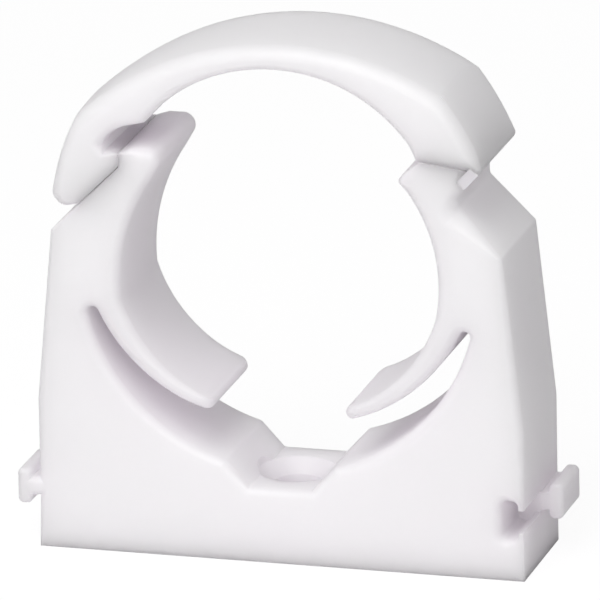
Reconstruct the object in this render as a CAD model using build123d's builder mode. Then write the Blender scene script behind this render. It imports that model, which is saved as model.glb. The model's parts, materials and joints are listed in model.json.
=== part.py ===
"""Hinged snap clip for 28 mm pipe, moulded in white plastic.

The frame's origin is at the centre of the flat base. X runs across the clip, Y from the front
face to the back, along the pipe, and Z up. Outlines are drawn in the X-Z plane and have the
clip's depth. The real clip is one moulding with a film hinge; it is divided at that film only.
"""
import os
from math import cos, degrees, radians, sin, sqrt, tan

from build123d import *

os.makedirs("parts", exist_ok=True)

# Pipe, and the body around it: margins and rises are measured from the pipe's circle and centre
pipe_radius = 14.0
pipe_height = 25.3
depth = 11.6
base_margin = 7.2
side_height = 13.0
shoulder_margin = 5.6
shoulder_slope = 44.5
shoulder_round = 0.4

# Sprung fingers under the pipe, and the saddle below them
finger_root_angle = -12.0
finger_mid_angle = -41.0
finger_tip_angle = -64.0
finger_mid_inset = 0.75
finger_tip_inset = 1.4
finger_root_thickness = 2.25
finger_mid_thickness = 1.55
finger_tip_thickness = 1.0
finger_tip_round = 0.45
saddle_clearance = 3.23
slot_top_angle = -14.8

# Recess in the saddle, and the countersunk screw hole in its floor
recess_drop = 1.52
recess_floor_width = 5.5
recess_side_run = 2.0
recess_round = 0.8
screw_radius = 2.2
countersink_radius = 3.4
countersink_slope = 45.0

# Right arm's head, the film hinge on it, and the groove outside the film
right_nose_angle = 41.0
right_top_length = 4.47
right_head_round = 0.5
hinge_reach = 6.504
hinge_rise = 0.845
film_thickness = 0.8
knuckle_clearance = 0.05
groove_setback = 1.42
groove_floor_length = 0.97
groove_face_angle = 48.0
groove_round = 0.6
strap_relief_angle = 5.0
body_relief_angle = -113.0
seam_slope = 6.5
seam_rise = 0.375
seam_gap = 0.08

# Left arm's head, and the latch face and ramp outside it
left_wall_inset = 0.65
left_wall_angle = 17.9
left_wall_end_inset = 0.7
left_wall_end_angle = 35.0
left_head_slope = 60.0
left_head_height = 2.82
left_head_width = 3.05
left_head_round = 1.05
latch_bevel_width = 1.18
latch_bevel_height = 0.45
latch_clearance = 0.06
ramp_slope = 44.0
ramp_drop = 0.15
ramp_clearance = 0.04
ramp_relief = 0.07

# Strap: circles inside and outside, and the heel over the hinge
strap_inner_offset = 0.57
strap_centre_rise = 3.48
strap_thickness = 1.93
strap_outer_offset = 12.4
strap_outer_shift = 0.9
strap_crown = 0.4
strap_seam_overlap = 0.2
heel_top_reach = 2.97
heel_middle = (-0.87, 3.97)
heel_overhang = 0.93
heel_round = 0.5

# Strap's latch end: places are measured from the top of the arm's latch face
strap_inner_end = 2.18
pocket_ceiling = (0.88, 1.9)
pocket_middle = (-0.62, 1.25)
pocket_end = (-1.62, 0.05)
pocket_floor_inset = 0.3
tooth_length = 2.32
tooth_foot_length = 3.52
hook_bottom = (-5.2, -5.65)
hook_outer = (-6.1, -4.65)
hook_middle = (-5.12, -0.5)
hook_top = -3.4
hook_round = 1.1

# Lugs and grooves that link neighbouring clips
link_height = 5.25
lug_reach = 1.9
lug_head_width = 1.25
lug_head_height = 3.1
lug_neck_height = 1.65
lug_round = 0.5
link_clearance = 0.15
link_side_gap = 0.1

half_depth = depth / 2
half_base = pipe_radius + base_margin
half_shoulder = pipe_radius + shoulder_margin


def ring(radius, angle, side=1):
    """Point at a distance and angle from the pipe's centre, on the right or mirrored left."""
    x = side * radius * cos(radians(angle))
    return (x, pipe_height + radius * sin(radians(angle)))


def shifted(place, offset):
    """Point at an offset from a place."""
    return (place[0] + offset[0], place[1] + offset[1])


def corners(sketch, places):
    """Corners of a sketch in the X-Z plane that lie nearest to the places."""
    found = []
    for x, z in places:
        found.append(sketch.vertices().sort_by_distance((x, z, 0))[0])
    return found


# Right arm's head and the hinge's axis
right_nose = ring(pipe_radius, right_nose_angle)
hinge = shifted(right_nose, (hinge_reach, hinge_rise))


def from_hinge(distance, angle):
    """Point at a distance and angle from the hinge's axis."""
    return shifted(hinge, (distance * cos(radians(angle)), distance * sin(radians(angle))))


def on_seam(x, lift=0.0):
    """Point at x on the right arm's flat top, or lifted from it."""
    slope_rise = (hinge[0] - x) * tan(radians(seam_slope))
    return (x, hinge[1] + seam_rise + slope_rise + lift)


# Fingers and saddle
saddle_radius = pipe_radius + saddle_clearance
tip_inner = pipe_radius - finger_tip_inset
tip_outer = tip_inner + finger_tip_thickness
mid_inner = pipe_radius - finger_mid_inset
mid_outer = mid_inner + finger_mid_thickness
root_outer = pipe_radius + finger_root_thickness
slot_middle = (root_outer + saddle_radius) / 2
slot_end_angle = slot_top_angle + degrees((saddle_radius - root_outer) / 2 / slot_middle)

# Recess and screw hole
recess_floor = pipe_height - saddle_radius - recess_drop
recess_edge = recess_floor_width / 2 + recess_side_run
recess_top = pipe_height - sqrt(saddle_radius**2 - recess_edge**2)
countersink_depth = (countersink_radius - screw_radius) / tan(radians(countersink_slope))

# Groove outside the hinge: its upper face is tangent to the film, and the shoulder slopes from its floor
half_film = film_thickness / 2
film_normal = groove_face_angle - 90
film_foot = from_hinge(half_film, film_normal)
groove_tangent = tan(radians(groove_face_angle))
groove_x = hinge[0] - groove_setback
groove_top = (groove_x, film_foot[1] - (film_foot[0] - groove_x) * groove_tangent)
groove_low = (groove_x, groove_top[1] - groove_floor_length)
shoulder_height = groove_low[1] - (half_shoulder - groove_x) * tan(radians(shoulder_slope))
right_shoulder = (half_shoulder, shoulder_height)
body_relief = from_hinge(half_film / cos(radians(body_relief_angle - film_normal)), body_relief_angle)
strap_relief = from_hinge(half_film / cos(radians(strap_relief_angle - film_normal)), strap_relief_angle)
right_corner = on_seam(hinge[0] - right_top_length)


def on_ramp(x, lift=0.0):
    """Point at x on the left arm's outer ramp, or lifted square to it."""
    slope_rise = (x + half_shoulder) * tan(radians(ramp_slope))
    return (x, shoulder_height - ramp_drop + slope_rise + lift / cos(radians(ramp_slope)))


# Left arm's head and the latch face
left_wall = ring(pipe_radius - left_wall_inset, left_wall_angle, -1)
left_wall_end = ring(pipe_radius - left_wall_end_inset, left_wall_end_angle, -1)
left_top = shifted(left_wall_end, (left_head_height / tan(radians(left_head_slope)), left_head_height))
left_top_end = shifted(left_top, (-left_head_width, 0))
latch_top = shifted(left_top_end, (-latch_bevel_width, -latch_bevel_height))
latch_foot = on_ramp(latch_top[0])
left_shoulder = on_ramp(-half_shoulder)
latch_crest = (latch_top[0], left_top[1])

with BuildPart() as clip_body:
    # Base, saddle, fingers and the two arms
    with BuildSketch(Plane.XZ) as body_outline:
        with BuildLine():
            Polyline(
                (-half_base, 0),
                (half_base, 0),
                (half_base, side_height),
                right_shoulder,
                groove_low,
                groove_top,
                body_relief,
                hinge,
                on_seam(hinge[0]),
                right_corner,
                right_nose,
            )
            ThreePointArc(
                right_nose,
                ring(pipe_radius, 0),
                ring(pipe_radius, finger_root_angle),
            )
            for side in (1, -1):
                ThreePointArc(
                    ring(pipe_radius, finger_root_angle, side),
                    ring(mid_inner, finger_mid_angle, side),
                    ring(tip_inner, finger_tip_angle, side),
                )
                Line(
                    ring(tip_inner, finger_tip_angle, side),
                    ring(tip_outer, finger_tip_angle, side),
                )
                ThreePointArc(
                    ring(tip_outer, finger_tip_angle, side),
                    ring(mid_outer, finger_mid_angle, side),
                    ring(root_outer, slot_top_angle, side),
                )
                ThreePointArc(
                    ring(root_outer, slot_top_angle, side),
                    ring(slot_middle, slot_end_angle, side),
                    ring(saddle_radius, slot_top_angle, side),
                )
                ThreePointArc(
                    ring(saddle_radius, slot_top_angle, side),
                    ring(saddle_radius, finger_mid_angle, side),
                    (side * recess_edge, recess_top),
                )
                Polyline(
                    (side * recess_edge, recess_top),
                    (side * recess_floor_width / 2, recess_floor),
                    (0, recess_floor),
                )
            ThreePointArc(ring(pipe_radius, finger_root_angle, -1), left_wall, left_wall_end)
            Polyline(
                left_wall_end,
                left_top,
                left_top_end,
                latch_top,
                latch_foot,
                left_shoulder,
                (-half_base, side_height),
                (-half_base, 0),
            )
        make_face()
        fillet(corners(body_outline, (groove_low, groove_top)), groove_round)
        fillet(corners(body_outline, (right_corner, right_nose)), right_head_round)
        fillet(corners(body_outline, (left_top,)), left_head_round)
        for shoulder in (right_shoulder, left_shoulder):
            fillet(corners(body_outline, (shoulder,)), shoulder_round)
        for side in (1, -1):
            finger_tip = (
                ring(tip_inner, finger_tip_angle, side),
                ring(tip_outer, finger_tip_angle, side),
            )
            fillet(corners(body_outline, finger_tip), finger_tip_round)
            recess_lip = (side * recess_edge, recess_top)
            fillet(corners(body_outline, (recess_lip,)), recess_round)
        with Locations(hinge):
            Circle(half_film + knuckle_clearance, mode=Mode.SUBTRACT)
    extrude(amount=half_depth, both=True)

    # Screw hole through the recess's floor, with a countersink and room for the head above it
    with BuildSketch(Plane.XY) as screw_hole:
        Circle(screw_radius)
    extrude(amount=recess_floor, mode=Mode.SUBTRACT)
    with BuildSketch(Plane.XY.offset(recess_floor)) as countersink:
        Circle(countersink_radius)
    extrude(amount=-countersink_depth, taper=countersink_slope, mode=Mode.SUBTRACT)
    with BuildSketch(Plane.XY.offset(recess_floor)) as head_room:
        Circle(countersink_radius)
    extrude(amount=recess_top - recess_floor, mode=Mode.SUBTRACT)

    # T-shaped lugs: the left one in the front half, the right one in the back half
    for side in (1, -1):
        lug_start = link_side_gap if side > 0 else -half_depth
        with BuildSketch(Plane.XZ.offset(-lug_start)) as lug_outline:
            with Locations((side * (half_base + lug_reach / 2), link_height)):
                Rectangle(lug_reach, lug_neck_height)
            with Locations((side * (half_base + lug_reach - lug_head_width / 2), link_height)):
                RectangleRounded(lug_head_width, lug_head_height, lug_round)
        extrude(amount=-(half_depth - link_side_gap))

    # T-shaped grooves: the right one in the front half, the left one in the back half
    slot_reach = lug_reach + link_side_gap
    slot_head_width = lug_head_width + 2 * link_clearance
    slot_head_x = half_base - slot_reach + slot_head_width / 2
    for side in (1, -1):
        slot_start = -half_depth if side > 0 else 0
        with BuildSketch(Plane.XZ.offset(-slot_start)) as slot_outline:
            with Locations((side * (half_base - slot_reach / 2), link_height)):
                Rectangle(slot_reach, lug_neck_height + 2 * link_clearance)
            with Locations((side * slot_head_x, link_height)):
                RectangleRounded(slot_head_width, lug_head_height + 2 * link_clearance, lug_round)
        extrude(amount=-half_depth, mode=Mode.SUBTRACT)

# Strap's inner and outer circles
strap_inner_radius = pipe_radius + strap_inner_offset
strap_centre = pipe_height + strap_centre_rise
strap_underside = strap_centre + strap_inner_radius
strap_outer_radius = pipe_radius + strap_outer_offset
outer_centre = (strap_outer_shift, strap_underside + strap_thickness - strap_outer_radius)


def on_strap(x):
    """Point at x on the strap's outer circle, halfway back, where it is crowned."""
    radius = strap_outer_radius + strap_crown
    return (x, outer_centre[1] + sqrt(radius**2 - (x - outer_centre[0])**2))


# Strap's two ends
strap_right = on_seam(right_corner[0] - strap_seam_overlap, seam_gap)
strap_left_x = latch_crest[0] + strap_inner_end
strap_left = (strap_left_x, strap_centre + sqrt(strap_inner_radius**2 - strap_left_x**2))
strap_left_end = on_strap(latch_crest[0] + hook_top)
strap_right_end = on_strap(hinge[0] - heel_top_reach)
heel_x = hinge[0] + heel_overhang
heel = (heel_x, film_foot[1] + (heel_x - film_foot[0]) * groove_tangent)
pocket_top_place = shifted(latch_crest, pocket_ceiling)
pocket_end_place = shifted(latch_crest, pocket_end)
hook_bottom_place = shifted(latch_crest, hook_bottom)
hook_outer_place = shifted(latch_crest, hook_outer)

# Tooth behind the latch face, clear of the face and of the ramp
tooth_top = shifted(latch_top, (-latch_clearance, 0))
tooth_tip = on_ramp(tooth_top[0], ramp_relief)
tooth_heel_x = latch_crest[0] - tooth_length
tooth_heel = on_ramp(tooth_heel_x, ramp_relief)
tooth_seat = on_ramp(tooth_heel_x - ramp_relief, ramp_clearance)
tooth_foot = on_ramp(latch_crest[0] - tooth_foot_length, ramp_clearance)

with BuildPart() as strap:
    with BuildSketch(Plane.XZ) as strap_outline:
        with BuildLine():
            Polyline(
                heel,
                strap_relief,
                hinge,
                on_seam(hinge[0], seam_gap),
                strap_right,
            )
            ThreePointArc(strap_right, (0, strap_underside), strap_left)
            Line(strap_left, pocket_top_place)
            ThreePointArc(pocket_top_place, shifted(latch_crest, pocket_middle), pocket_end_place)
            Polyline(
                pocket_end_place,
                (pocket_end_place[0] + pocket_floor_inset, tooth_top[1]),
                tooth_top,
                tooth_tip,
                tooth_heel,
                tooth_seat,
                tooth_foot,
                hook_bottom_place,
                hook_outer_place,
            )
            ThreePointArc(hook_outer_place, shifted(latch_crest, hook_middle), strap_left_end)
            ThreePointArc(strap_left_end, on_strap(outer_centre[0]), strap_right_end)
            ThreePointArc(strap_right_end, shifted(hinge, heel_middle), heel)
        make_face()
        fillet(corners(strap_outline, (hook_bottom_place, hook_outer_place)), hook_round)
        fillet(corners(strap_outline, (heel,)), heel_round)
        with Locations(hinge):
            Circle(half_film)
    extrude(amount=half_depth, both=True)

    # The strap's outer side is crowned: a little higher halfway back than at its two edges
    with BuildSketch(Plane.XY.offset(outer_centre[1])) as crowned_side:
        edge_x = outer_centre[0] + strap_outer_radius
        with BuildLine():
            Polyline(
                (edge_x, -half_depth),
                (outer_centre[0], -half_depth),
                (outer_centre[0], half_depth),
                (edge_x, half_depth),
            )
            ThreePointArc(
                (edge_x, half_depth),
                (edge_x + strap_crown, 0),
                (edge_x, -half_depth),
            )
        make_face()
    crown_axis = Axis((outer_centre[0], 0, outer_centre[1]), (0, 1, 0))
    revolve(axis=crown_axis, mode=Mode.INTERSECT)

for name, piece in (("clip_body", clip_body), ("strap", strap)):
    piece.part.label = name
    export_step(piece.part, "parts/" + name + ".step")
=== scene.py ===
"""Hinged snap clip for 28 mm pipe: soft moulded edges, film hinge, plastic, light and camera."""
import json
from math import atan2, cos, hypot, inf, radians, sin, sqrt

import bmesh
import bpy
from mathutils import Matrix, Vector
from mathutils.bvhtree import BVHTree


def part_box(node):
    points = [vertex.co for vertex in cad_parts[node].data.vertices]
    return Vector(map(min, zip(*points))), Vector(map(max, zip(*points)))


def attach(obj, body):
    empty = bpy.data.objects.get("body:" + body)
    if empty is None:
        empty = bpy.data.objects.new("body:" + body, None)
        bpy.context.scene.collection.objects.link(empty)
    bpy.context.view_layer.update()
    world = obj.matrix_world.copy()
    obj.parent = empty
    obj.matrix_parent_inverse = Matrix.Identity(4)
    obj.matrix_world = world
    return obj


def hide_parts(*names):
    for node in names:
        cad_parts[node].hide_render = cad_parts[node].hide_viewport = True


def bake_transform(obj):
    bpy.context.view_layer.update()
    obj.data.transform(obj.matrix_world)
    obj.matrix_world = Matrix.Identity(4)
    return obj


MM = 0.001

# Rounding of the front and back rims: broad outside the strap and at the arms' ends
ARM_RIM = 1.7 * MM
STRAP_RIM = 1.1 * MM
BROAD_HEIGHT = 28.4 * MM
FRONT_RIM = 0.75 * MM
BACK_RIM = 0.3 * MM
LUG_RIM = 0.3 * MM
UNDERSIDE_RIM = 0.2 * MM
CONTACT_RIM = 0.05 * MM
CONTACT_DISTANCE = 0.25 * MM
RIM_STEPS = 6
LUG_REACH = 1.9 * MM

# Shares of a wall, of a curve's radius and of the way along a rim that limit its rounding
EVEN_WALL_SHARE = 0.42
BROAD_WALL_SHARE = 0.66
NARROW_WALL_SHARE = 0.28
LARGEST_CURVE_SHARE = 0.85
RADIUS_CHANGE = 0.5

# Rays that find the strap's crowned side behind its rim
HIGHEST_CROWN = 0.35 * MM
RAY_START = 0.01 * MM

# Limits in an outline's geometry: mitres, turns, near-parallel lines and faces across the pipe
LONGEST_MITRE = 1.6
LEAST_MITRE_DIVISOR = 0.1
LEAST_TURN = 0.2
PARALLEL = 1e-12
FACING_ALONG_PIPE = 0.999

# Rounded corners of the two finger tips, seen from above
TIP_ANGLE = radians(64.0)
TIP_CORNER = 1.1 * MM
TIP_LENGTH = 3.0 * MM
TIP_CUTS = (0.55 * MM, 0.7 * MM, 0.9 * MM)
FINGER_OUTSIDE = 15.5 * MM

# Film hinge: a flexible skin through the hinge's axis
FILM_SLOPE = radians(48.0)
FILM_INTO_STRAP = 0.5 * MM
FILM_INTO_BODY = 1.3 * MM
FILM_THICKNESS = 0.93 * MM
FILM_RISE = 0.055 * MM
FILM_PROUD = 0.01 * MM
FILM_CUTS = 13

# Mesh clean-up and shading
MERGE_DISTANCE = 0.0005 * MM
FLAT_ANGLE = radians(0.3)
SMOOTH_ANGLE = radians(32.0)
TOLERANCE = 0.02 * MM

# Camera, solved from the clip's corners in the photograph
CAMERA_CENTRE = Vector((0.0, 0.0, 20.82)) * MM
CAMERA_AZIMUTH = radians(16.209)
CAMERA_ELEVATION = radians(17.761)
CAMERA_ROLL = radians(-1.1064)
CAMERA_DISTANCE = 1009.9 * MM
CAMERA_SHIFT_RIGHT = 0.419 * MM
CAMERA_SHIFT_UP = 0.700 * MM
CAMERA_LENS = 720.0
CLIP_START = 0.1
CLIP_END = 10.0

# Light and floor: each lamp has an azimuth and an elevation in degrees, and a power
WORLD_LIGHT = 0.25
WORLD_COLOUR = (1.0, 0.97, 1.0, 1.0)
SEEN_WHITE = (1.0, 1.0, 1.0, 1.0)
LAMP_DISTANCE = 0.6
LAMP_SIZE = 0.4
FRONT_SIDE = (5.0, 15.0)
FRONT_POWER = 0.85
HIGH_SIDE = (-10.0, 52.0)
HIGH_POWER = 2.0
BACK_SIDE = (125.0, 25.0)
BACK_POWER = 0.22
FLOOR_SIZE = 3.0
FLOOR_GAP = 0.02 * MM
FLOOR_COLOUR = (0.88, 0.87, 0.88, 1.0)
FLOOR_GLOW = 0.92
FLOOR_SHADE = (0.12, 0.12, 0.12, 1.0)

# Plastic: colours, sizes of the noises that vary them, and light scattered inside
COOL_WHITE = (0.977, 0.915, 0.988, 1.0)
WARM_WHITE = (0.988, 0.91, 0.98, 1.0)
FILM_COOL_WHITE = (0.735, 0.726, 0.75, 1.0)
FILM_WARM_WHITE = (0.745, 0.724, 0.745, 1.0)
CLOUD_SCALE = 70.0
CLOUD_DETAIL = 3.0
FLOW_SCALE = (60.0, 60.0, 420.0)
FLOW_DETAIL = 2.0
FLOW_SHARE = 0.35
ALL_COOL = 0.45
ALL_WARM = 0.9
SATIN_SCALE = 700.0
SATIN_DETAIL = 3.0
SATIN = (0.38, 0.52)
FILM_SATIN = (0.3, 0.42)
WAVE_SCALE = 260.0
WAVE_DETAIL = 1.0
WAVE_HEIGHT = 0.03 * MM
WAVE_STRENGTH = 0.5
GRAIN_SCALE = 9000.0
GRAIN_DETAIL = 4.0
GRAIN_HEIGHT = 0.004 * MM
GRAIN_STRENGTH = 0.3
PLASTIC_IOR = 1.5
EVEN_SCATTER = (1.0, 1.0, 1.0)
SCATTER_DISTANCE = 4.5 * MM
FILM_SCATTER_DISTANCE = 0.3 * MM


def deselect():
    """Leaves no object selected."""
    for obj in bpy.context.selected_objects:
        obj.select_set(False)


def make_active(obj):
    """Makes this the one object that the operators work on."""
    deselect()
    obj.select_set(True)
    bpy.context.view_layer.objects.active = obj


def inward_directions(corners, facing):
    """For each corner of a flat outline, the way inwards that moves both its edges by one unit."""
    count = len(corners)
    edge_ways = []
    for i in range(count):
        along = (corners[(i + 1) % count] - corners[i]).normalized()
        edge_ways.append(facing.cross(along))
    ways = []
    for i in range(count):
        before, after = edge_ways[i - 1], edge_ways[i]
        way = (before + after) / max(1.0 + before.dot(after), LEAST_MITRE_DIVISOR)
        if way.length > LONGEST_MITRE:
            way = way.normalized() * LONGEST_MITRE
        ways.append(way)
    return ways


def wall_thickness(corners, start, way):
    """Distance from a corner to the outline's far side, across the material."""
    nearest = inf
    aim = way.normalized()
    for i, here in enumerate(corners):
        step = corners[(i + 1) % len(corners)] - here
        turn = aim.x * step.z - aim.z * step.x
        if abs(turn) < PARALLEL:
            continue
        gap = here - start
        distance = (gap.x * step.z - gap.z * step.x) / turn
        share = (gap.x * aim.z - gap.z * aim.x) / turn
        if distance > MERGE_DISTANCE and 0.0 <= share <= 1.0:
            nearest = min(nearest, distance)
    return nearest


def is_outside(corner, way):
    """True at an outline's side that faces away from the pipe."""
    return way.dot(corner - pipe_centre) < 0.0


def wall_share(corner, way):
    """Part of a wall that the rounding of this side may take."""
    if corner.z < BROAD_HEIGHT:
        return EVEN_WALL_SHARE
    return BROAD_WALL_SHARE if is_outside(corner, way) else NARROW_WALL_SHARE


def wanted_radius(corner, way, facing, neighbour, broad_rim):
    """Rounding radius at a corner of a rim, before walls and curves limit it."""
    if abs(corner.y) < half_depth - TOLERANCE:
        return LUG_RIM if abs(corner.x) > half_base + TOLERANCE else 0.0
    if facing.y > 0.0:
        radius = BACK_RIM
    elif corner.z > BROAD_HEIGHT and is_outside(corner, way):
        radius = broad_rim
    else:
        radius = FRONT_RIM
    if corner.z < TOLERANCE:
        radius = min(radius, UNDERSIDE_RIM)
    if neighbour.find_nearest(corner)[3] < CONTACT_DISTANCE:
        radius = min(radius, CONTACT_RIM)
    return radius


def rim_radii(corners, ways, facing, neighbour, broad_rim):
    """Rounding radius at each corner: smaller at thin walls, tight curves and contacts."""
    count = len(corners)
    radii = []
    for corner, way in zip(corners, ways):
        largest = wall_share(corner, way) * wall_thickness(corners, corner, way)
        wanted = wanted_radius(corner, way, facing, neighbour, broad_rim)
        radii.append(min(wanted, largest))
    for i in range(count):
        after = (i + 1) % count
        step = corners[after] - corners[i]
        shrink = (ways[i] - ways[after]).dot(step.normalized())
        if shrink > 0.0:
            largest = LARGEST_CURVE_SHARE * step.length / shrink
            radii[i] = min(radii[i], largest)
            radii[after] = min(radii[after], largest)
    for way_round in (1, -1, 1, -1):
        for i in range(count)[::way_round]:
            before = (i - way_round) % count
            reach = (corners[i] - corners[before]).length * RADIUS_CHANGE
            radii[i] = min(radii[i], radii[before] + reach)
    return radii


def crown_height(surface, place, way, facing):
    """How far a crowned side stands outside its rim, at a place's depth."""
    start = place + (way.normalized() - facing) * RAY_START
    distance = surface.ray_cast(start, -way)[3]
    if distance is None or distance > RAY_START + HIGHEST_CROWN:
        return 0.0
    return max(distance - RAY_START, 0.0)


def crown_end(corners, crowns, i):
    """Shift of a corner where a crowned side ends: outwards on the flat side's own line."""
    before, after = i - 1, (i + 1) % len(corners)
    if crowns[i] > 0.0 or (crowns[before] > 0.0) == (crowns[after] > 0.0):
        return Vector()
    crowned, flat = (before, after) if crowns[before] > 0.0 else (after, before)
    flat_way = (corners[flat] - corners[i]).normalized()
    turn = flat_way.cross((corners[crowned] - corners[i]).normalized()).length
    return -flat_way * crowns[crowned] / turn if turn > LEAST_TURN else Vector()


def clear_way(mesh, broad_rim):
    """Merges mesh points that the front's broad rim would pass with the nearest ones behind it."""
    front = TOLERANCE - half_depth
    behind_rim = broad_rim - half_depth
    targets = {}
    for vert in mesh.verts:
        if vert.co.z < BROAD_HEIGHT or not front < vert.co.y < behind_rim:
            continue
        near = [edge.other_vert(vert) for edge in vert.link_edges]
        behind = [other for other in near if other.co.y > behind_rim]
        if behind:
            targets[vert] = min(behind, key=lambda other: (other.co - vert.co).length)
    bmesh.ops.weld_verts(mesh, targetmap=targets)


def round_rim(mesh, face, surface, neighbour, broad_rim):
    """Rounds the outline of a front or back face with rings of new faces.

    The radius changes along the rim, which the bevel operator can't do.
    """
    facing = face.normal.copy()
    corners = [vert.co.copy() for vert in face.verts]
    ways = inward_directions(corners, facing)
    radii = rim_radii(corners, ways, facing, neighbour, broad_rim)
    for step in range(RIM_STEPS + 1):
        angle = radians(90.0) * step / RIM_STEPS
        if step > 0:
            face = bmesh.ops.extrude_discrete_faces(mesh, faces=[face])["faces"][0]
        places = [
            corner - facing * radius * (1.0 - sin(angle)) for corner, radius in zip(corners, radii)
        ]
        crowns = [crown_height(surface, place, way, facing) for place, way in zip(places, ways)]
        for i, vert in enumerate(face.verts):
            inwards = ways[i] * radii[i] * (1.0 - cos(angle))
            vert.co = places[i] + inwards - ways[i].normalized() * crowns[i]
            vert.co += crown_end(corners, crowns, i)


def is_rounded(face):
    """True for the front and back faces, and for the lugs' faces halfway back."""
    if abs(face.normal.y) < FACING_ALONG_PIPE:
        return False
    centre = face.calc_center_median()
    return abs(centre.y) > half_depth - TOLERANCE or abs(centre.x) > half_base


def tip_distance(place):
    """Distance along a finger from its tip, or None away from the fingers."""
    offset = place - pipe_centre
    radius = hypot(offset.x, offset.z)
    if offset.z > 0.0 or radius > FINGER_OUTSIDE:
        return None
    distance = radius * (TIP_ANGLE - atan2(-offset.z, abs(offset.x)))
    return distance if distance < TIP_LENGTH else None


def cut_across_tips(piece, height):
    """Adds an edge across the finger tips, on a plane of constant depth."""
    mesh = bmesh.from_edit_mesh(piece.data)
    bpy.ops.mesh.select_all(action="DESELECT")
    for face in mesh.faces:
        face.select_set(tip_distance(face.calc_center_median()) is not None)
    bmesh.update_edit_mesh(piece.data)
    bpy.ops.mesh.bisect(plane_co=(0.0, height, 0.0), plane_no=(0.0, 1.0, 0.0))


def round_finger_tips(piece):
    """Draws the corners of the finger tips back along the fingers, to a round plan."""
    bpy.ops.object.mode_set(mode="EDIT")
    bpy.ops.mesh.select_mode(type="FACE")
    for side in (1, -1):
        for cut in TIP_CUTS:
            cut_across_tips(piece, side * (half_depth - cut))
    mesh = bmesh.from_edit_mesh(piece.data)
    for vert in mesh.verts:
        distance = tip_distance(vert.co)
        across = TIP_CORNER - half_depth + abs(vert.co.y)
        if distance is None or across <= 0.0:
            continue
        offset = vert.co - pipe_centre
        setback = TIP_CORNER - sqrt(max(TIP_CORNER**2 - across**2, 0.0))
        turn = setback * (1.0 - max(distance, 0.0) / TIP_LENGTH) / hypot(offset.x, offset.z)
        side = 1.0 if offset.x > 0.0 else -1.0
        vert.co = pipe_centre + Matrix.Rotation(-side * turn, 3, "Y") @ offset
    bmesh.update_edit_mesh(piece.data)
    bpy.ops.object.mode_set(mode="OBJECT")


def shade(piece):
    """Smooth shading on curves, with flat faces kept flat."""
    make_active(piece)
    bpy.ops.object.shade_smooth_by_angle(angle=SMOOTH_ANGLE)
    normals = piece.modifiers.new("flat_faces", "WEIGHTED_NORMAL")
    normals.keep_sharp = True
    bpy.ops.object.modifier_apply(modifier=normals.name)


def surface_of(node):
    """A solid's surface, to measure distances from."""
    mesh = bmesh.new()
    mesh.from_mesh(frame["nodes"][node].data)
    tree = BVHTree.FromBMesh(mesh)
    mesh.free()
    return tree


def moulded_copy(node, name, neighbour, broad_rim):
    """A copy of a solid with whole faces and softly rounded rims."""
    make_active(frame["nodes"][node])
    bpy.ops.object.duplicate()
    piece = bpy.context.active_object
    piece.name = name
    piece.parent = None
    piece.data.materials.clear()
    bpy.ops.mesh.customdata_custom_splitnormals_clear()
    bpy.ops.object.mode_set(mode="EDIT")
    bpy.ops.mesh.select_all(action="SELECT")
    bpy.ops.mesh.remove_doubles(threshold=MERGE_DISTANCE)
    bpy.ops.mesh.dissolve_limited(angle_limit=FLAT_ANGLE)
    mesh = bmesh.from_edit_mesh(piece.data)
    clear_way(mesh, broad_rim)
    own_surface = surface_of(node)
    other_surface = surface_of(neighbour)
    for face in [face for face in mesh.faces if is_rounded(face)]:
        round_rim(mesh, face, own_surface, other_surface, broad_rim)
    bmesh.update_edit_mesh(piece.data)
    bpy.ops.object.mode_set(mode="OBJECT")
    return piece


def finish_solid(piece, node):
    """Gives a copy of a solid its finish and lets it stand for its node."""
    shade(piece)
    piece.data.materials.append(plastic)
    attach(piece, node)
    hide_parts(node)


def make_film():
    """The film hinge's skin, a thin slab set across the hinge between the body and the strap."""
    deselect()
    bpy.ops.mesh.primitive_cube_add(size=1.0)
    film = bpy.context.active_object
    film.name = "film_hinge"
    bpy.ops.object.mode_set(mode="EDIT")
    length = FILM_INTO_STRAP + FILM_INTO_BODY
    size = (length, 2.0 * (half_depth + FILM_PROUD), FILM_THICKNESS)
    bpy.ops.transform.resize(value=size)
    bpy.ops.mesh.subdivide(number_cuts=FILM_CUTS)
    bpy.ops.transform.translate(value=((FILM_INTO_STRAP - FILM_INTO_BODY) / 2.0, 0.0, FILM_RISE))
    bpy.ops.object.mode_set(mode="OBJECT")
    film.data.transform(Matrix.Rotation(-FILM_SLOPE, 4, "Y"))
    film.data.transform(Matrix.Translation(hinge))
    shade(film)
    film.data.materials.append(film_plastic)
    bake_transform(film)


def add_noise(tree, vector, scale, detail):
    """A noise texture on a vector."""
    noise = tree.nodes.new("ShaderNodeTexNoise")
    noise.inputs["Scale"].default_value = scale
    noise.inputs["Detail"].default_value = detail
    tree.links.new(vector, noise.inputs["Vector"])
    return noise.outputs["Fac"]


def add_bump(tree, height, distance, strength, normal=None):
    """A bump on a height, over another bump if one is given."""
    bump = tree.nodes.new("ShaderNodeBump")
    bump.inputs["Distance"].default_value = distance
    bump.inputs["Strength"].default_value = strength
    tree.links.new(height, bump.inputs["Height"])
    if normal:
        tree.links.new(normal, bump.inputs["Normal"])
    return bump.outputs["Normal"]


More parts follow.
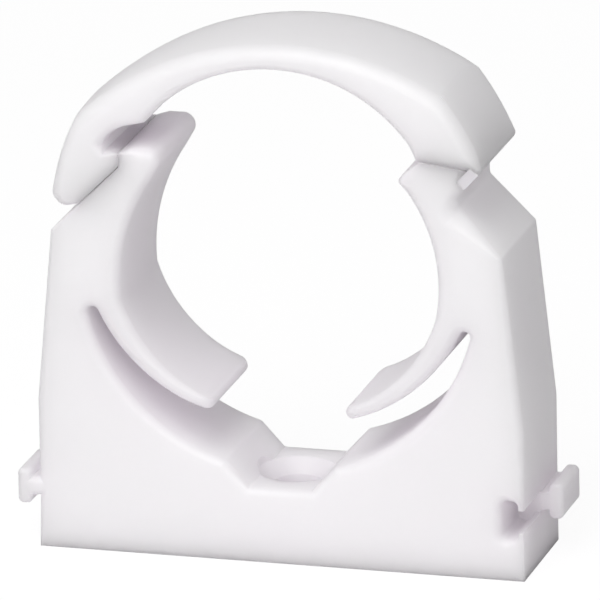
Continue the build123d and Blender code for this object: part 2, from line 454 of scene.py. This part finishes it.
def make_moulded_surface():
    """Node group: clouded colour, flow marks, satin patches and fine grain of moulded plastic."""
    tree = bpy.data.node_groups.new("moulded_surface", "ShaderNodeTree")
    sockets = tree.interface
    sockets.new_socket("Vector", in_out="INPUT", socket_type="NodeSocketVector")
    sockets.new_socket("Cool", in_out="INPUT", socket_type="NodeSocketColor")
    sockets.new_socket("Warm", in_out="INPUT", socket_type="NodeSocketColor")
    for name in ("Smoothest", "Roughest"):
        sockets.new_socket(name, in_out="INPUT", socket_type="NodeSocketFloat")
    sockets.new_socket("Color", in_out="OUTPUT", socket_type="NodeSocketColor")
    sockets.new_socket("Roughness", in_out="OUTPUT", socket_type="NodeSocketFloat")
    sockets.new_socket("Normal", in_out="OUTPUT", socket_type="NodeSocketVector")
    given = tree.nodes.new("NodeGroupInput")
    result = tree.nodes.new("NodeGroupOutput")
    vector = given.outputs["Vector"]

    clouds = add_noise(tree, vector, CLOUD_SCALE, CLOUD_DETAIL)
    stretched = tree.nodes.new("ShaderNodeMapping")
    stretched.inputs["Scale"].default_value = FLOW_SCALE
    tree.links.new(vector, stretched.inputs["Vector"])
    flow = add_noise(tree, stretched.outputs["Vector"], 1.0, FLOW_DETAIL)
    tint = tree.nodes.new("ShaderNodeMath")
    tint.operation = "MULTIPLY_ADD"
    tint.inputs[1].default_value = FLOW_SHARE
    tree.links.new(flow, tint.inputs[0])
    tree.links.new(clouds, tint.inputs[2])
    spread = tree.nodes.new("ShaderNodeMapRange")
    spread.inputs["From Min"].default_value = ALL_COOL
    spread.inputs["From Max"].default_value = ALL_WARM
    tree.links.new(tint.outputs[0], spread.inputs["Value"])
    colour = tree.nodes.new("ShaderNodeMix")
    colour.data_type = "RGBA"
    tree.links.new(spread.outputs["Result"], colour.inputs["Factor"])
    tree.links.new(given.outputs["Cool"], colour.inputs["A"])
    tree.links.new(given.outputs["Warm"], colour.inputs["B"])
    tree.links.new(colour.outputs["Result"], result.inputs["Color"])

    satin = tree.nodes.new("ShaderNodeMapRange")
    patches = add_noise(tree, vector, SATIN_SCALE, SATIN_DETAIL)
    tree.links.new(patches, satin.inputs["Value"])
    tree.links.new(given.outputs["Smoothest"], satin.inputs["To Min"])
    tree.links.new(given.outputs["Roughest"], satin.inputs["To Max"])
    tree.links.new(satin.outputs["Result"], result.inputs["Roughness"])

    waves = add_noise(tree, vector, WAVE_SCALE, WAVE_DETAIL)
    wavy = add_bump(tree, waves, WAVE_HEIGHT, WAVE_STRENGTH)
    grain = add_noise(tree, vector, GRAIN_SCALE, GRAIN_DETAIL)
    grained = add_bump(tree, grain, GRAIN_HEIGHT, GRAIN_STRENGTH, wavy)
    tree.links.new(grained, result.inputs["Normal"])
    return tree


def make_plastic(name, cool, warm, satin, scatter):
    """Translucent white plastic with that tint and satin."""
    smoothest, roughest = satin
    material = bpy.data.materials.new(name)
    material.use_nodes = True
    nodes = material.node_tree.nodes
    links = material.node_tree.links
    shader = nodes["Principled BSDF"]
    shader.inputs["IOR"].default_value = PLASTIC_IOR
    shader.inputs["Subsurface Weight"].default_value = 1.0
    shader.inputs["Subsurface Radius"].default_value = EVEN_SCATTER
    shader.inputs["Subsurface Scale"].default_value = scatter
    coordinates = nodes.new("ShaderNodeTexCoord")
    surface = nodes.new("ShaderNodeGroup")
    surface.node_tree = moulded_surface
    surface.inputs["Cool"].default_value = cool
    surface.inputs["Warm"].default_value = warm
    surface.inputs["Smoothest"].default_value = smoothest
    surface.inputs["Roughest"].default_value = roughest
    links.new(coordinates.outputs["Object"], surface.inputs["Vector"])
    links.new(surface.outputs["Color"], shader.inputs["Base Color"])
    links.new(surface.outputs["Roughness"], shader.inputs["Roughness"])
    links.new(surface.outputs["Normal"], shader.inputs["Normal"])
    return material


def make_camera():
    """The photograph's camera, far off with a long lens."""
    level = Vector((cos(CAMERA_AZIMUTH), sin(CAMERA_AZIMUTH), 0.0))
    back = direction(CAMERA_AZIMUTH, CAMERA_ELEVATION)
    upright = back.cross(level)
    right = level * cos(CAMERA_ROLL) + upright * sin(CAMERA_ROLL)
    up = upright * cos(CAMERA_ROLL) - level * sin(CAMERA_ROLL)
    place = CAMERA_CENTRE + back * CAMERA_DISTANCE + right * CAMERA_SHIFT_RIGHT + up * CAMERA_SHIFT_UP
    data = bpy.data.cameras.new("camera")
    data.lens = CAMERA_LENS
    data.clip_start = CLIP_START
    data.clip_end = CLIP_END
    camera = bpy.data.objects.new("camera", data)
    bpy.context.scene.collection.objects.link(camera)
    turn = Matrix((right, up, back)).transposed().to_4x4()
    camera.matrix_world = Matrix.Translation(place) @ turn
    bpy.context.scene.camera = camera


def direction(azimuth, elevation):
    """Unit vector from the clip towards that azimuth and elevation; azimuth 0 is the front."""
    level = cos(elevation)
    return Vector((sin(azimuth) * level, -cos(azimuth) * level, sin(elevation)))


def make_world():
    """Weak even light from all round, seen as white."""
    world = bpy.data.worlds.new("studio")
    bpy.context.scene.world = world
    world.use_nodes = True
    nodes = world.node_tree.nodes
    links = world.node_tree.links
    light = nodes["Background"]
    light.inputs["Color"].default_value = WORLD_COLOUR
    light.inputs["Strength"].default_value = WORLD_LIGHT
    seen = nodes.new("ShaderNodeBackground")
    seen.inputs["Color"].default_value = SEEN_WHITE
    seen.inputs["Strength"].default_value = 1.0
    path = nodes.new("ShaderNodeLightPath")
    glossy = nodes.new("ShaderNodeMath")
    glossy.operation = "MAXIMUM"
    through = nodes.new("ShaderNodeMath")
    through.operation = "MAXIMUM"
    mix = nodes.new("ShaderNodeMixShader")
    links.new(path.outputs["Is Camera Ray"], glossy.inputs[0])
    links.new(path.outputs["Is Glossy Ray"], glossy.inputs[1])
    links.new(glossy.outputs[0], through.inputs[0])
    links.new(path.outputs["Is Transmission Ray"], through.inputs[1])
    links.new(through.outputs[0], mix.inputs["Fac"])
    links.new(light.outputs[0], mix.inputs[1])
    links.new(seen.outputs[0], mix.inputs[2])
    links.new(mix.outputs[0], nodes["World Output"].inputs["Surface"])


def make_floor():
    """A pale floor that lights the clip plainly and is seen nearly white, with a faint shadow."""
    deselect()
    bpy.ops.mesh.primitive_plane_add(size=FLOOR_SIZE, location=(0.0, 0.0, -FLOOR_GAP))
    floor = bpy.context.active_object
    floor.name = "floor"
    material = bpy.data.materials.new("floor_white")
    material.use_nodes = True
    nodes = material.node_tree.nodes
    links = material.node_tree.links
    nodes.remove(nodes["Principled BSDF"])
    lit = nodes.new("ShaderNodeBsdfDiffuse")
    lit.inputs["Color"].default_value = FLOOR_COLOUR
    shade_part = nodes.new("ShaderNodeBsdfDiffuse")
    shade_part.inputs["Color"].default_value = FLOOR_SHADE
    glow = nodes.new("ShaderNodeEmission")
    glow.inputs["Strength"].default_value = FLOOR_GLOW
    seen = nodes.new("ShaderNodeAddShader")
    path = nodes.new("ShaderNodeLightPath")
    mix = nodes.new("ShaderNodeMixShader")
    links.new(shade_part.outputs[0], seen.inputs[0])
    links.new(glow.outputs[0], seen.inputs[1])
    links.new(path.outputs["Is Camera Ray"], mix.inputs["Fac"])
    links.new(lit.outputs[0], mix.inputs[1])
    links.new(seen.outputs[0], mix.inputs[2])
    links.new(mix.outputs[0], nodes["Material Output"].inputs["Surface"])
    floor.data.materials.append(material)


def make_lamp(name, side, power):
    """A square softbox that points at the clip from that azimuth and elevation."""
    azimuth, elevation = side
    back = direction(radians(azimuth), radians(elevation))
    data = bpy.data.lights.new(name, "AREA")
    data.shape = "SQUARE"
    data.size = LAMP_SIZE
    data.energy = power
    lamp = bpy.data.objects.new(name, data)
    bpy.context.scene.collection.objects.link(lamp)
    lamp.location = CAMERA_CENTRE + back * LAMP_DISTANCE
    lamp.rotation_euler = back.to_track_quat("Z", "Y").to_euler()


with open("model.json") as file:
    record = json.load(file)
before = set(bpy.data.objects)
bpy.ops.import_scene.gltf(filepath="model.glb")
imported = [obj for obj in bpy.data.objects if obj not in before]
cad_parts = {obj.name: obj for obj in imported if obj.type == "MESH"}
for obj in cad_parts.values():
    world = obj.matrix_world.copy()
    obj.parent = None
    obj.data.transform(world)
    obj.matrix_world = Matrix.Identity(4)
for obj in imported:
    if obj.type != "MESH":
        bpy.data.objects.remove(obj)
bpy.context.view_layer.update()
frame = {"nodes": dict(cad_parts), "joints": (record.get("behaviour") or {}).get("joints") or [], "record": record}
bpy.context.scene.view_settings.view_transform = "Standard"

# Places on the clip, from the frame
half_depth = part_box("clip_body")[1][1]
half_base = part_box("clip_body")[1][0] - LUG_REACH
hinge = Vector(frame["joints"][0]["pos_m"])
pipe_seat = next(mount for mount in frame["record"]["mounts"] if mount["name"] == "pipe_seat")
pipe_centre = Vector(pipe_seat["pos_m"])

moulded_surface = make_moulded_surface()
plastic = make_plastic("white_plastic", COOL_WHITE, WARM_WHITE, SATIN, SCATTER_DISTANCE)
film_plastic = make_plastic(
    "film_plastic", FILM_COOL_WHITE, FILM_WARM_WHITE, FILM_SATIN, FILM_SCATTER_DISTANCE
)

make_camera()
make_world()
make_floor()
make_lamp("front_light", FRONT_SIDE, FRONT_POWER)
make_lamp("high_light", HIGH_SIDE, HIGH_POWER)
make_lamp("back_light", BACK_SIDE, BACK_POWER)

body = moulded_copy("clip_body", "moulded_body", "strap", ARM_RIM)
round_finger_tips(body)
finish_solid(body, "clip_body")
strap = moulded_copy("strap", "moulded_strap", "clip_body", STRAP_RIM)
finish_solid(strap, "strap")
make_film()
